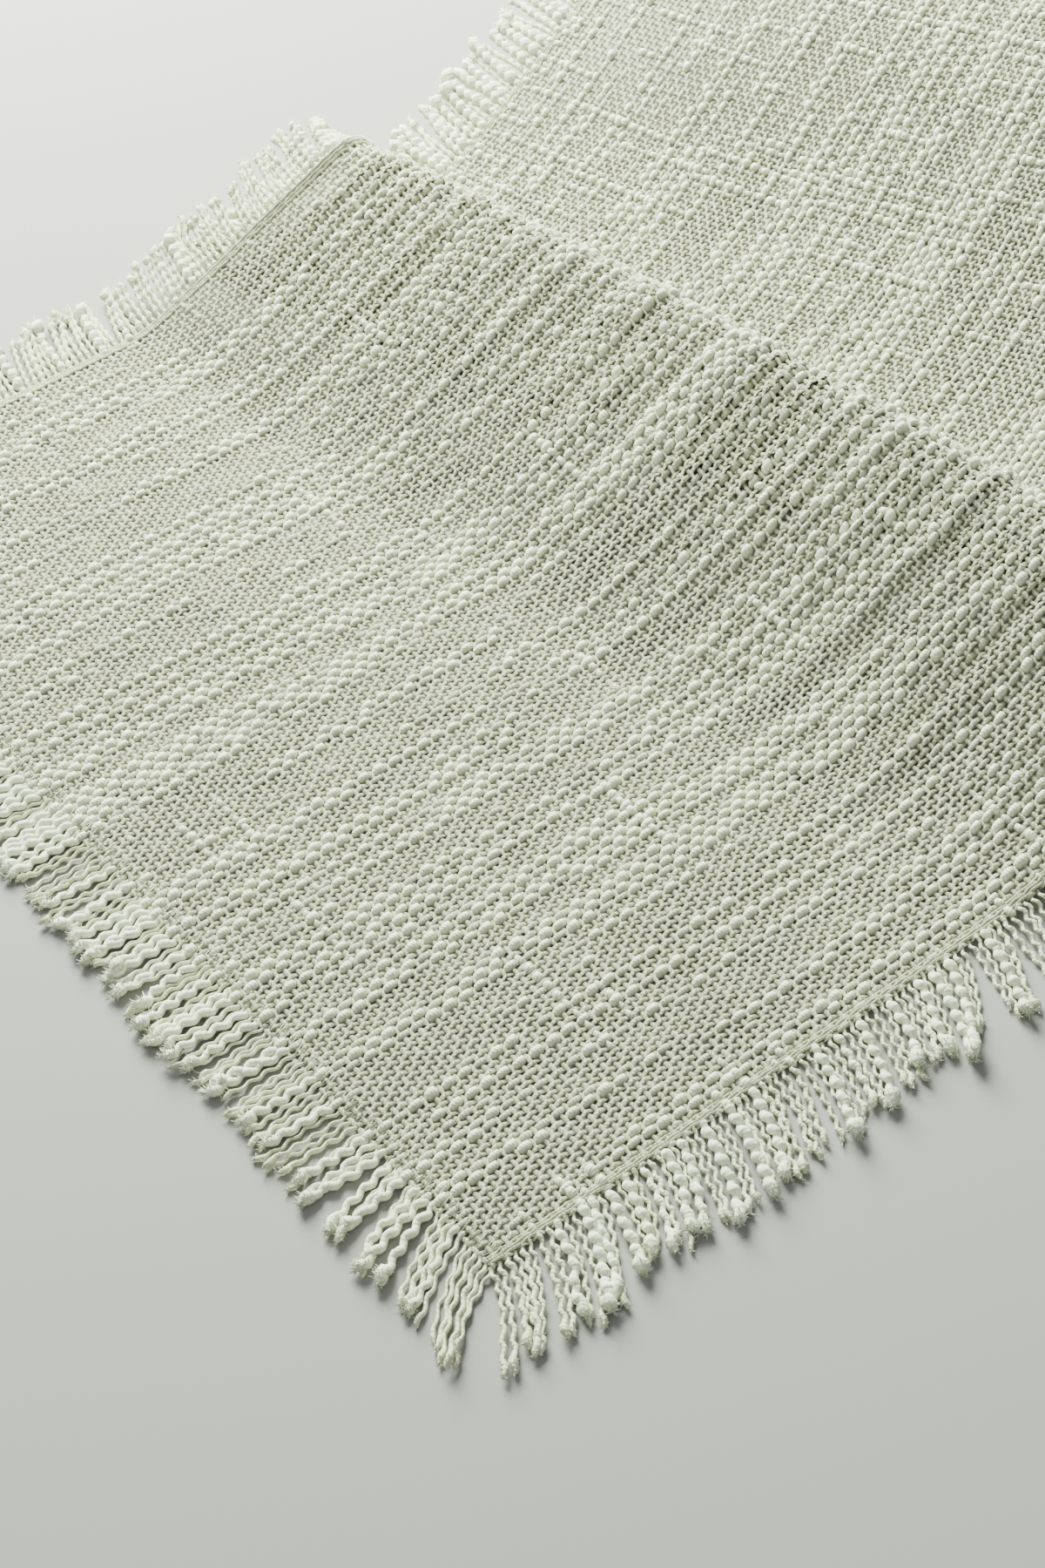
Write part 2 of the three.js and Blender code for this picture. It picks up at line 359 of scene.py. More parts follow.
class MeshBatch:
    """Points and faces of one piece, with the values that its finish reads."""

    def __init__(self) -> None:
        """Starts empty."""
        self.points: list[np.ndarray] = []
        self.uv: list[np.ndarray] = []
        self.tone: list[np.ndarray] = []
        self.shade: list[np.ndarray] = []
        self.faces: list[np.ndarray] = []
        self.count = 0

    def add(self, points: np.ndarray, uv: np.ndarray, tone: np.ndarray, shade: np.ndarray,
            faces: list[np.ndarray]) -> None:
        """Adds points and the faces between them.

        Args:
            points: The points, in millimetres.
            uv: The distance along the yarn in millimetres and the share round it, for each point.
            tone: How light the yarn is, from 0 to 1, for each point.
            shade: The painted shade at each point, from 0 for the darkest shade, in a crevice, to 1 for no
                shade, on a ridge.
            faces: Arrays of faces of three or four corners, counted from the first of these points.
        """
        size = len(points)
        self.points.append(points)
        self.uv.append(uv)
        self.tone.append(np.broadcast_to(tone, size))
        self.shade.append(np.broadcast_to(shade, size))
        self.faces.extend(block + self.count for block in faces)
        self.count += size

    def build(self, name: str) -> bpy.types.Object:
        """Makes the object.

        Args:
            name: The piece's name.

        Returns:
            The new object, at the origin.
        """
        mesh = bpy.data.meshes.new(name)
        corners = np.concatenate([block.ravel() for block in self.faces]).astype(np.int32)
        sizes = np.concatenate([np.full(len(block), block.shape[1]) for block in self.faces])
        mesh.vertices.add(self.count)
        mesh.vertices.foreach_set("co", (np.concatenate(self.points) * METRES).astype(np.float32).ravel())
        mesh.loops.add(len(corners))
        mesh.loops.foreach_set("vertex_index", corners)
        mesh.polygons.add(len(sizes))
        starts = np.concatenate([[0], np.cumsum(sizes)[:-1]])
        mesh.polygons.foreach_set("loop_start", starts.astype(np.int32))
        mesh.update(calc_edges=True)
        mesh.polygons.foreach_set("use_smooth", np.ones(len(sizes), bool))
        layer = mesh.uv_layers.new(name="yarn")
        layer.data.foreach_set("uv", np.concatenate(self.uv)[corners].astype(np.float32).ravel())
        for label, values in (("tone", self.tone), ("shade", self.shade)):
            attribute = mesh.attributes.new(label, "FLOAT", "POINT")
            attribute.data.foreach_set("value", np.concatenate(values).astype(np.float32))
        mesh.update()
        piece = bpy.data.objects.new(name, mesh)
        bpy.context.scene.collection.objects.link(piece)
        return piece


@dataclass
class YarnPlan:
    """Where every yarn lies in the flat cloth, and how thick it is at each crossing."""

    surface: ClothSurface
    ends: int = 176
    picks: int = 373
    past_side: float = 1.6
    past_end: float = 2.54
    fine_lengthwise: float = 1.50
    fine_crosswise: float = 1.40
    slub: float = 2.85
    room_for_slub: float = 0.35
    selvedge_ends: int = 3
    least: float = 0.9
    most: float = 3.4
    uneven: float = 0.07
    fine_knob: float = 0.09
    slub_knob: float = 0.24
    lengthwise_slubs: float = -0.1
    crosswise_slubs: float = -2.15
    far_slubs: float = 1.3
    far_from: float = 250.0
    far_to: float = 420.0
    edge_slubs: float = 1.3
    edge_reach: float = 9.0
    along: np.ndarray = field(init=False, repr=False)
    across: np.ndarray = field(init=False, repr=False)
    lengthwise: np.ndarray = field(init=False, repr=False)
    crosswise: np.ndarray = field(init=False, repr=False)

    def __post_init__(self) -> None:
        """Lays out the crossings, by pick and by end."""
        draw = np.random.default_rng(20)
        pick, end = np.arange(self.picks)[:, None], np.arange(self.ends)[None, :]
        even_along = (pick + 0.5) * self.pick_pitch - self.past_end
        even_across = (end + 0.5) * self.end_pitch - self.past_side
        inner = np.minimum(end, self.ends - 1 - end) >= self.selvedge_ends
        run = SoftNoise(31, 120, 1.0).at(even_along, end + 0.0)
        run = run + draw.normal(self.lengthwise_slubs, 1.0, self.ends)[None, :]
        self.lengthwise = self._thickness(
            run, SoftNoise(32, 7, 0.8).at(even_along, end + 0.0), draw, self.fine_lengthwise, inner
        )
        side = np.minimum(even_across, self.surface.width - even_across)
        wish = self.far_slubs * smooth_step(even_along, self.far_from, self.far_to)
        wish = wish + self.edge_slubs * np.exp(-((side / self.edge_reach) ** 2))
        run = SoftNoise(33, 1.2, 45).at(pick + 0.0, even_across)
        run = run + draw.normal(self.crosswise_slubs, 0.6, self.picks)[:, None]
        self.crosswise = self._thickness(
            run + wish, SoftNoise(34, 0.8, 7).at(pick + 0.0, even_across), draw, self.fine_crosswise, True
        )
        self.across = self._spread(self.lengthwise, self.surface.width, self.past_side, axis=1)
        self.along = self._spread(self.crosswise, self.surface.length, self.past_end, axis=0)
        stray_across = 0.22 * SoftNoise(35, 28, 14).at(even_along, even_across)
        stray_along = 0.26 * SoftNoise(36, 14, 30).at(even_along, even_across)
        self.across += stray_across * self._inside(end, self.ends)
        self.along += stray_along * self._inside(pick, self.picks)
        self.across += draw.normal(0, 0.07, self.across.shape)
        self.along += draw.normal(0, 0.08, self.along.shape)

    @property
    def end_pitch(self) -> float:
        """The usual distance between two lengthwise yarns."""
        return (self.surface.width + 2 * self.past_side) / self.ends

    @property
    def pick_pitch(self) -> float:
        """The usual distance between two crosswise yarns."""
        return (self.surface.length + 2 * self.past_end) / self.picks

    def _thickness(self, run: np.ndarray, knob: np.ndarray, draw: np.random.Generator, fine: float,
                   inner: np.ndarray | bool) -> np.ndarray:
        """Works out how thick the yarns are.

        Args:
            run: How much slub there is, with long soft changes along each yarn.
            knob: Short changes along each yarn.
            draw: The draw for the difference from crossing to crossing.
            fine: The thickness of the yarn where it has no slub.
            inner: Where slub is let in.

        Returns:
            The thickness at each crossing.
        """
        fat = smooth_step(run, -0.2, 1.0) * inner
        thick = fine * (1 + self.fine_knob * knob) + fat * (self.slub - fine) * (1 + self.slub_knob * knob)
        return np.clip(thick * draw.normal(1, self.uneven, thick.shape), self.least, self.most)

    def _inside(self, number: np.ndarray, total: int) -> np.ndarray:
        """Fades the stray of the yarns out at the first and the last six of them."""
        return smooth_step(np.minimum(number, total - 1 - number) / 6.0, 0, 1)

    def _spread(self, thick: np.ndarray, size: float, past: float, axis: int) -> np.ndarray:
        """Shares a size out between yarns, so that the others bend round a thick stretch.

        Args:
            thick: The thickness at each crossing.
            size: The size of the cloth in that direction.
            past: How far the weave runs past each edge.
            axis: The axis that counts these yarns.

        Returns:
            The middle of each yarn at each crossing.
        """
        usual = soften(thick, 15, 1 - axis)
        room = 1 + self.room_for_slub * (usual - soften(usual, 21, axis))
        room *= (size + 2 * past) / room.sum(axis=axis, keepdims=True)
        return np.cumsum(room, axis=axis) - room / 2 - past


@dataclass
class GroundWeave:
    """The plain weave: one strip for each yarn, over and under by turns."""

    surface: ClothSurface
    plan: YarnPlan
    press: float = 0.74
    most: float = 1.75
    sink: float = 1.45
    side_drop: float = 0.18
    ridge_rise: float = 0.36
    under_width: float = 0.72
    side_shade: float = 0.58
    under_shade: float = 0.04
    patchy: float = 0.30
    slub_tone: float = 0.6
    slub_from: float = 1.5

    def build(self, run: Run) -> bpy.types.Object:
        """Weaves all the yarns that run one way.

        Args:
            run: The way that the yarns run.

        Returns:
            The piece.
        """
        plan, swap = self.plan, run is Run.CROSSWISE
        own, other = plan.lengthwise, plan.crosswise
        if swap:
            own, other = other, own
        own, other = np.minimum(own, self.most), np.minimum(other, self.sink)
        pick, end = np.indices(own.shape)
        over = (pick + end + swap) % 2 == 0
        height = np.where(over, 1, -1) * self.press * other / 2
        arrays = [plan.along, plan.across, own, height, over]
        if swap:
            arrays = [a.T for a in arrays]
        along, across, own, height, over = arrays
        draw = np.random.default_rng(41 + swap)
        lightest, ridge_shade = (0.28, 0.96) if swap else (0.34, 1.0)
        tone = draw.uniform(0, lightest, own.shape[1])[None, :] + draw.uniform(0, self.patchy, own.shape)
        tone = tone + self.slub_tone * smooth_step(own, self.slub_from, self.most)
        walked = np.broadcast_to((across if swap else along), own.shape)
        sides = (-1.0, 0.0, 1.0)
        points, uv, shades = [], [], []
        for side in sides:
            half = own / 2 * np.where(over, 1, self.under_width) * side
            rise = np.where(over, self.ridge_rise if side == 0 else -self.side_drop, 0) * own
            reach_along, reach_across = (along - half, across) if swap else (along, across + half)
            points.append(self.surface.place(reach_along, reach_across, height + rise))
            uv.append(np.stack([walked, np.full(own.shape, (side + 1) / 2)], axis=-1))
            # Painted shade: an over yarn is lightest on its ridge and darker on its sides, and a yarn is
            # darkest where it passes under.
            over_shade = ridge_shade if side == 0 else self.side_shade
            shades.append(np.where(over, over_shade, self.under_shade))
        kept = np.stack([np.ones(over.shape, bool), over, np.ones(over.shape, bool)], axis=-1)
        number = np.where(kept, np.cumsum(kept).reshape(kept.shape) - 1, 0)
        first, second = number[:-1], number[1:]
        high = over[:-1]
        falls = [
            (first, 0, second, 0, first, 1),
            (first, 1, second, 0, second, 2),
            (first, 1, second, 2, first, 2),
        ]
        rises = [
            (first, 0, second, 0, second, 1),
            (first, 0, second, 1, first, 2),
            (first, 2, second, 1, second, 2),
        ]
        faces = []
        for mask, kinds in ((high, falls), (~high, rises)):
            for rows_a, a, rows_b, b, rows_c, c in kinds:
                faces.append(np.stack([rows_a[mask][:, a], rows_b[mask][:, b], rows_c[mask][:, c]], axis=-1))
        batch = MeshBatch()
        batch.add(
            np.stack(points, axis=-2)[kept],
            np.stack(uv, axis=-2)[kept],
            np.repeat(tone[..., None], 3, axis=-1)[kept],
            np.stack(shades, axis=-1)[kept],
            faces,
        )
        return batch.build(f"{run.value}_yarns")


@dataclass(frozen=True)
class PuffShape:
    """The section of a puff, from one side to the other, for yarns up to a thickness."""

    least: float
    sides: tuple[float, ...]
    heights: tuple[float, ...]


@dataclass
class SlubPuffs:
    """The soft puffs that a thick stretch of yarn makes wherever it lies on top."""

    surface: ClothSurface
    plan: YarnPlan
    press: float = 0.74
    reach: float = 1.06
    skew: float = 0.10
    sunk: float = 0.10
    most_under: float = 1.7
    ring_places: tuple[float, ...] = (-0.56, 0.0, 0.56)
    ring_sizes: tuple[float, ...] = (0.82, 1.0, 0.82)
    small: PuffShape = PuffShape(1.90, (-1.0, 0.0, 1.0), (-0.25, 0.92, -0.25))
    large: PuffShape = PuffShape(2.45, (-1.0, -0.5, 0.5, 1.0), (-0.30, 0.82, 0.82, -0.30))

    def build(self, run: Run) -> bpy.types.Object:
        """Makes the puffs on all the yarns that run one way.

        Args:
            run: The way that the yarns run.

        Returns:
            The piece.
        """
        swap = run is Run.CROSSWISE
        own = self.plan.crosswise if swap else self.plan.lengthwise
        pick, end = np.indices(own.shape)
        over = (pick + end + swap) % 2 == 0
        batch = MeshBatch()
        large = own > self.large.least
        self._add(batch, run, over & large, self.large)
        self._add(batch, run, over & ~large & (own > self.small.least), self.small)
        return batch.build(f"{run.value}_slub_puffs")

    def _add(self, batch: MeshBatch, run: Run, chosen: np.ndarray, shape: PuffShape) -> None:
        """Adds the puffs of one section.

        Args:
            batch: The mesh that they go into.
            run: The way that the yarns run.
            chosen: The crossings that have one.
            shape: Their section.
        """
        plan, swap = self.plan, run is Run.CROSSWISE
        own, other = (plan.crosswise, plan.lengthwise) if swap else (plan.lengthwise, plan.crosswise)
        thick = own[chosen]
        draw = np.random.default_rng(51 + swap + 2 * len(shape.sides))
        thick = thick * draw.uniform(0.92, 1.10, len(thick))
        middle_height = self.press * np.minimum(other[chosen], self.most_under) / 2 - self.sunk * thick
        along, across = plan.along[chosen], plan.across[chosen]
        pitch = plan.end_pitch if swap else plan.pick_pitch
        half_length = pitch * self.reach * draw.uniform(0.92, 1.05, len(thick))
        skew = self.skew * draw.uniform(0.5, 1.5, len(thick))
        tone = draw.uniform(0.75, 1, len(thick))
        points, uv, shades = [], [], []

        def ring_point(place: float, side: float, size: float, height: float, shade: float) -> None:
            """Adds one point to every puff."""
            ahead = place * half_length
            aside = side * size * thick / 2 + skew * ahead
            rise = middle_height + height * size * thick / 2
            if swap:
                points.append(self.surface.place(along - aside, across + ahead, rise))
                walked = across + ahead
            else:
                points.append(self.surface.place(along + ahead, across + aside, rise))
                walked = along + ahead
            uv.append(np.stack([walked, np.full(len(thick), (side + 1) / 2)], axis=-1))
            shades.append(np.full(len(thick), shade))

        # Painted shade: each puff is light along its top, darker on its sides and darkest at its two ends,
        # where it tucks in.
        ring_point(-1.0, 0.0, 1.0, -0.45, 0.1)
        for place, size in zip(self.ring_places, self.ring_sizes):
            for side, height in zip(shape.sides, shape.heights):
                ring_point(place, side, size, height, 1.0 if height > 0 else 0.3)
        ring_point(1.0, 0.0, 1.0, -0.45, 0.1)
        size, columns = len(points), len(shape.sides)
        last = 1 + columns * (len(self.ring_places) - 1)
        triangles, quads = [], []
        for j in range(columns - 1):
            triangles.append((0, 1 + j, 2 + j))
            triangles.append((last + j, size - 1, last + j + 1))
            for i in range(len(self.ring_places) - 1):
                corner = 1 + i * columns + j
                quads.append((corner, corner + columns, corner + columns + 1, corner + 1))
        starts = (np.arange(len(thick)) * size)[:, None, None]
        batch.add(
            np.stack(points, axis=1).reshape(-1, 3),
            np.stack(uv, axis=1).reshape(-1, 2),
            np.repeat(tone, size),
            np.stack(shades, axis=1).ravel(),
            [
                (starts + np.array(triangles)[None]).reshape(-1, 3),
                (starts + np.array(quads)[None]).reshape(-1, 4),
            ],
        )


@dataclass(frozen=True)
class FringeCut:
    """How one edge is frayed, in millimetres, and how far its strands lean along it, in degrees."""

    length: float
    spread: float
    corner: float
    rest: float
    corner_stretch: float
    fullness: float
    swing: float
    fat_swing: float
    bead: float
    swell: float
    fat_from: float
    more: float
    gather: float
    most: float
    shown: float


@dataclass(frozen=True)
class Parting:
    """A place along an edge where the strands lie apart, and how far their tips are pushed either way."""

    place: float
    back: float
    on: float


@dataclass(frozen=True)
class Rope:
    """The place along an edge of a strand that is thick all the way to its tip."""

    place: float
    thick: float


NEAR_CUT = FringeCut(
    length=24.8, spread=3, corner=-36, rest=0, corner_stretch=60, fullness=0.76, swing=0.46, fat_swing=0.60,
    bead=0.08, swell=0.16, fat_from=1.8, more=0.32, gather=0.22, most=2.3, shown=350,
)
RIGHT_CUT = FringeCut(
    length=27, spread=4, corner=-29, rest=-22, corner_stretch=60, fullness=0.86, swing=0.46, fat_swing=0.40,
    bead=0.14, swell=0.12, fat_from=1.85, more=0.25, gather=0.14, most=2.6, shown=330,
)
LEFT_CUT = replace(
    RIGHT_CUT, corner=12, rest=15, fullness=1.25, swing=0.30, fat_swing=0.42, bead=0.10, swell=0.10,
    fat_from=1.75, more=0.5, gather=0.30, shown=0,
)
FAR_CUT = replace(
    NEAR_CUT, length=24.2, corner=8, rest=8, fullness=0.78, swing=0.44, fat_swing=0.55, swell=0.10, more=0.25,
    gather=0.20, most=2.15, shown=0,
)
FRINGES = {Edge.NEAR: NEAR_CUT, Edge.RIGHT: RIGHT_CUT, Edge.LEFT: LEFT_CUT, Edge.FAR: FAR_CUT}
PARTINGS = {
    Edge.RIGHT: (
        Parting(16, 1.0, 1.5),
        Parting(35, 0.5, 1.5),
        Parting(57, 0.8, 1.2),
        Parting(84, 2.0, 1.5),
        Parting(106, 1.2, 2.0),
        Parting(148, 10.0, 3.5),
        Parting(160, 2.5, 6.0),
        Parting(205, 2.0, 2.5),
        Parting(262, 4.0, 1.5),
        Parting(330, 2.0, 3.5),
    ),
    Edge.NEAR: (
        Parting(24, 1.0, 2.0),
        Parting(46, 1.2, 1.0),
        Parting(78, 0.6, 0.8),
        Parting(131, 0.8, 0.8),
        Parting(188, 1.6, 1.0),
        Parting(243, 1.0, 2.0),
    ),
    Edge.LEFT: (
        Parting(88, 3.0, 4.0),
        Parting(134, 2.5, 1.5),
        Parting(176, 2.0, 4.0),
        Parting(206, 1.5, 3.0),
        Parting(246, 3.0, 2.0),
        Parting(310, 3.0, 3.0),
        Parting(385, 2.0, 4.0),
        Parting(450, 4.0, 2.0),
    ),
    Edge.FAR: (
        Parting(64, 2.0, 1.0),
        Parting(152, 1.0, 3.0),
        Parting(236, 3.0, 2.0),
    ),
}
ROPES = {
    Edge.RIGHT: (
        Rope(17, 2.3),
        Rope(28, 2.2),
        Rope(38, 2.5),
        Rope(44, 2.1),
        Rope(50, 2.4),
        Rope(56, 2.2),
        Rope(62, 2.5),
        Rope(70, 2.6),
        Rope(98, 2.4),
        Rope(104, 2.1),
        Rope(113, 2.3),
        Rope(121, 2.4),
        Rope(131, 2.3),
        Rope(137, 2.6),
        Rope(143, 2.5),
    ),
}


@dataclass
class Fringe:
    """The ravelled ends of the yarns along one edge, crimped as they lay in the weave.

    Places along an edge are counted from the near end or from the right edge.
    """

    surface: ClothSurface
    plan: YarnPlan
    edge: Edge
    lock_pitch: float = 10.0
    wander: float = 2.2
    droop: float = 0.12
    start: float = 0.6
    parting_reach: float = 7.0
    meander: float = 0.65
    loose: float = 0.9
    root_wave: float = 0.45
    root_taper: float = 0.3
    swing_from: float = 3.0
    tip_from: float = 4.8
    tip_full: float = 2.2
    tip_room: float = 4.3
    tip_places: tuple[float, ...] = (3.6, 2.6, 1.6, 0.7, 0.0)
    tip_sizes: tuple[float, ...] = (0.92, 1.0, 1.0, 0.86, 0.52)
    fibres: int = 9
    more_fibres: int = 45
    far_fibres: int = 5
    batch: MeshBatch = field(default_factory=MeshBatch, repr=False)
    tips: list[tuple[np.ndarray, np.ndarray, float, int]] = field(default_factory=list, repr=False)

    def _roots(self) -> tuple[np.ndarray, np.ndarray, float, float]:
        """Finds where the yarns leave this edge.

        Returns:
            Their places, their thicknesses, the length of the edge, and the pitch of the crossings in them.
        """
        plan, size = self.plan, self.surface
        if self.edge is Edge.NEAR:
            return plan.across[0], plan.lengthwise[:3].mean(axis=0), size.width, plan.pick_pitch
        if self.edge is Edge.FAR:
            return plan.across[-1], plan.lengthwise[-3:].mean(axis=0), size.width, plan.pick_pitch
        if self.edge is Edge.RIGHT:
            return plan.along[:, 0], plan.crosswise[:, 3:7].mean(axis=1), size.length, plan.end_pitch
        return plan.along[:, -1], plan.crosswise[:, -7:-3].mean(axis=1), size.length, plan.end_pitch

    def _place(self, place: np.ndarray, out: np.ndarray, height: np.ndarray) -> np.ndarray:
        """Finds points beside the edge, from the place along it and the distance out of it."""
        along, across = {
            Edge.NEAR: (-out, place),
            Edge.FAR: (self.surface.length + out, place),
            Edge.RIGHT: (place, -out),
            Edge.LEFT: (place, self.surface.width + out),
        }[self.edge]
        along, across = np.broadcast_arrays(along, across)
        lift = np.maximum(self.surface.lift(along, across), 0)
        points = self.surface.place(along, across, height)
        reach = np.clip(out, 0, None) / FRINGES[self.edge].length
        points[..., 2] -= self.droop * lift * reach * reach
        return points

    def _pushes(self, place: np.ndarray) -> np.ndarray:
        """Says how far the partings push the tip of each strand along the edge."""
        push = np.zeros(len(place))
        for parting in PARTINGS[self.edge]:
            away = place - parting.place
            strength = np.where(away > 0, parting.on, -parting.back)
            push += strength * np.exp(-np.abs(away) / self.parting_reach)
        return push

    def build(self) -> bpy.types.Object:
        """Makes the fringe.

        Returns:
            The piece.
        """
        cut = FRINGES[self.edge]
        place, thick, size, pitch = self._roots()
        total = len(place)
        draw = np.random.default_rng(60 + len(self.edge.value))
        thick = np.minimum(thick + cut.more * np.maximum(draw.normal(0, 1, total), 0), cut.most)
        for rope in ROPES.get(self.edge, ()):
            thick[np.argmin(np.abs(place - rope.place))] = rope.thick
        count = int(size // self.lock_pitch)
        margin = (size - count * self.lock_pitch) / 2
        lock = np.clip(((place - margin) // self.lock_pitch).astype(int), 0, count - 1)
        middle = margin + (lock + 0.5) * self.lock_pitch
        backward = self.edge in (Edge.RIGHT, Edge.FAR)
        number = 2 * (count - 1 - lock if backward else lock) + 1
        degrees = cut.corner + (cut.rest - cut.corner) * smooth_step(middle, 0, cut.corner_stretch)
        slope = np.tan(np.radians(degrees))
        lock_length = cut.length + 0.6 * cut.spread * scatter(number, 1)
        length = lock_length * draw.uniform(0.86, 1.03, total)
        lock_stray = self.wander * 0.5 * scatter(number, 2) * (-1 if backward else 1)
        drift = lock_stray + self._pushes(place) + draw.normal(0, self.loose, total)
        drift += (middle - place) * cut.gather * (0.4 + np.abs(scatter(number, 5)))
        period = 2 * pitch * draw.uniform(0.95, 1.06, total)
        phase = 1.6 * SoftNoise(80, 12, 1).at(place, np.zeros(total)) + draw.normal(0, 0.42, total)
        pile = np.clip(draw.normal(-0.2, 0.7, total), 0, 1.4)
        bend = draw.normal(0, self.meander, total)
        bend_length = draw.uniform(14, 30, total)
        tone = draw.uniform(0.15, 0.75, total)
        fat = smooth_step(thick, cut.fat_from, cut.fat_from + 0.5)
        tuft = 1 + draw.uniform(0.20, 0.70, total) * (1 - 0.6 * fat)
        ball = draw.uniform(0.0, 0.5, total) * fat
        for i in range(total):
            rings = (8 if fat[i] > 0.5 else 6) if place[i] < cut.shown else 4
            turn = math.tau / period[i]
            offset = math.tau / rings * (0.5 if fat[i] < 0.5 else 0)
            step = math.tau / rings
            first = math.ceil((phase[i] + turn * (self.start + 0.3) - offset) / step)
            last = math.floor((phase[i] + turn * (length[i] - self.tip_room) - offset) / step)
            out = (offset + step * np.arange(first, last + 1) - phase[i]) / turn
            out = np.concatenate([[self.start], out, length[i] - np.array(self.tip_places)])
            wave = turn * out + phase[i]
            share = out / lock_length[i]
            swing = cut.swing + (cut.fat_swing - cut.swing) * fat[i]
            sideways = swing * np.sin(wave) * smooth_step(out, 0, self.swing_from)
            sideways += bend[i] * np.sin(math.tau * out / bend_length[i]) * share
            lean = slope[i] * lock_length[i] * (0.6 * share + 0.4 * share**2)
            half = thick[i] / 2 * (cut.fullness + cut.swell * fat[i])
            girth = half * (1 + (0.04 + cut.bead * fat[i]) * np.cos(wave) + draw.normal(0, 0.07, len(out)))
            girth *= 1 - self.root_taper * fat[i] * smooth_step(-out, -2.5, -self.start)
            end = smooth_step(out, length[i] - self.tip_from, length[i] - self.tip_full)
            girth = girth * (1 - end) + (half * tuft[i] + ball[i]) * end
            girth[-len(self.tip_sizes):] *= self.tip_sizes * draw.normal(1, 0.07, len(self.tip_sizes))
            settle = smooth_step(out, 1.5, 7)
            rest = girth - self.surface.thickness / 2 + 0.10 * (1 + np.cos(wave))
            height = rest * settle + self.root_wave * np.cos(wave) * (1 - settle)
            height += pile[i] * smooth_step(share, 0.2, 0.9)
            centre = self._place(place[i] + lean + drift[i] * share**1.4 + sideways, out, height)
            colour = tone[i] + 0.55 * fat[i]
            rough = (0.02 + 0.05 * end) * fat[i] + 0.08 * end
            sides = 4 if fat[i] < 0.5 else 8 if rings == 8 else 5
            self._tube(centre, girth, out, colour, sides, rough)
            fibres = self.fibres + int(self.more_fibres * fat[i]) if rings > 4 else self.far_fibres
            self.tips.append((centre[-4:], girth[-4:], colour, fibres))
        self._fibres()
        return self.batch.build(self.edge.value.replace("fringe", "strands"))

    def _tube(self, centre: np.ndarray, girth: np.ndarray, walked: np.ndarray, tone: float, sides: int,
              rough: np.ndarray) -> None:
        """Adds a closed strand.

        Args:
            centre: The points down its middle.
            girth: Its half thickness at each point.
            walked: The distance along it at each point.
            tone: How light it is.
            sides: How many sides it has.
            rough: How uneven it is at each point, as a share of its thickness.
        """
        ahead = np.gradient(centre, axis=0)
        ahead /= np.linalg.norm(ahead, axis=1, keepdims=True)
        aside = np.cross(np.array([0, 0, 1.0]), ahead)
        aside /= np.linalg.norm(aside, axis=1, keepdims=True)
        above = np.cross(ahead, aside)
        turn = np.arange(sides) / sides * math.tau - math.pi / 2
        ring = aside[:, None] * np.cos(turn)[None, :, None] + above[:, None] * np.sin(turn)[None, :, None]
        lumps = 1 + rough[:, None] * np.sin(7.3 * walked[:, None] + 2.9 * np.arange(sides)[None] + 40 * tone)
        points = centre[:, None] + ring * (girth[:, None] * lumps)[:, :, None]
        points[..., 2] = np.maximum(points[..., 2], 0.05)
        rows = len(centre)
        index, after, quads = tube_faces(rows, sides)
        ends = np.stack([centre[-1] + ahead[-1] * girth[-1] * 0.35, centre[0] - ahead[0] * girth[0] * 0.35])
        tip = np.stack([index[-1], after[-1], np.full(sides, rows * sides)], axis=-1)
        root = np.stack([after[0], index[0], np.full(sides, rows * sides + 1)], axis=-1)
        uv = np.stack(np.broadcast_arrays(walked[:, None], (np.arange(sides) / sides)[None]), axis=-1)
        uv = np.concatenate([uv.reshape(-1, 2), [[walked[-1], 0.5], [walked[0], 0.5]]])
        # Painted shade: each strand is lighter on its upper side than underneath, and its root cap darker
        # than its tip cap.
        shade = np.broadcast_to(0.30 + 0.70 * smooth_step(np.sin(turn), -0.8, 0.7), (rows, sides)).ravel()
        points = np.concatenate([points.reshape(-1, 3), ends])
        self.batch.add(points, uv, np.array(tone), np.append(shade, [0.9, 0.6]), [quads, tip, root])

    def _fibres(self) -> None:
        """Adds the loose fibres at the tips of the strands, each a thin closed spike."""
        draw = np.random.default_rng(90 + len(self.edge.value))
        roots, spikes, halves, tones = [], [], [], []
        for centre, girth, tone, count in self.tips:
            ahead = centre[-1] - centre[0]
            ahead /= np.linalg.norm(ahead)
            way = draw.normal(0, 0.7, (count, 3)) + ahead[None, :] * 0.8
            way[:, 2] = np.abs(way[:, 2])
            way /= np.linalg.norm(way, axis=1, keepdims=True)
            ring = draw.integers(0, len(centre), count)
            root = centre[ring] + way * girth[ring][:, None] * 0.6
            roots.append(root)
            spikes.append(root + way * (girth[ring][:, None] * 0.4 + draw.uniform(0.6, 2.0, (count, 1))))
            halves.append(draw.uniform(0.08, 0.26 * min(girth.max(), 1.4), count))
            tones.append(np.full(count, tone))
        root, spike = np.concatenate(roots), np.concatenate(spikes)
        root[:, 2] = np.maximum(root[:, 2], 0.15)
        spike[:, 2] = np.maximum(spike[:, 2], 0.15)
        ahead = spike - root
        aside = np.cross(ahead, np.array([0, 0, 1.0]))
        aside /= np.linalg.norm(aside, axis=1, keepdims=True)
        above = np.cross(aside, ahead)
        above /= np.linalg.norm(above, axis=1, keepdims=True)
        half = np.concatenate(halves)[:, None]
        corners = [root + half * (math.cos(a) * aside + math.sin(a) * above) for a in (1.57, 3.67, 5.76)]
        points = np.stack([*corners, spike], axis=1).reshape(-1, 3)
        starts = (np.arange(len(root)) * 4)[:, None, None]
        faces = np.array([(0, 1, 3), (1, 2, 3), (2, 0, 3), (2, 1, 0)])
        self.batch.add(
            points, np.zeros((len(points), 2)), np.repeat(np.concatenate(tones), 4), np.array(0.8),
            [(starts + faces[None]).reshape(-1, 3)],
        )


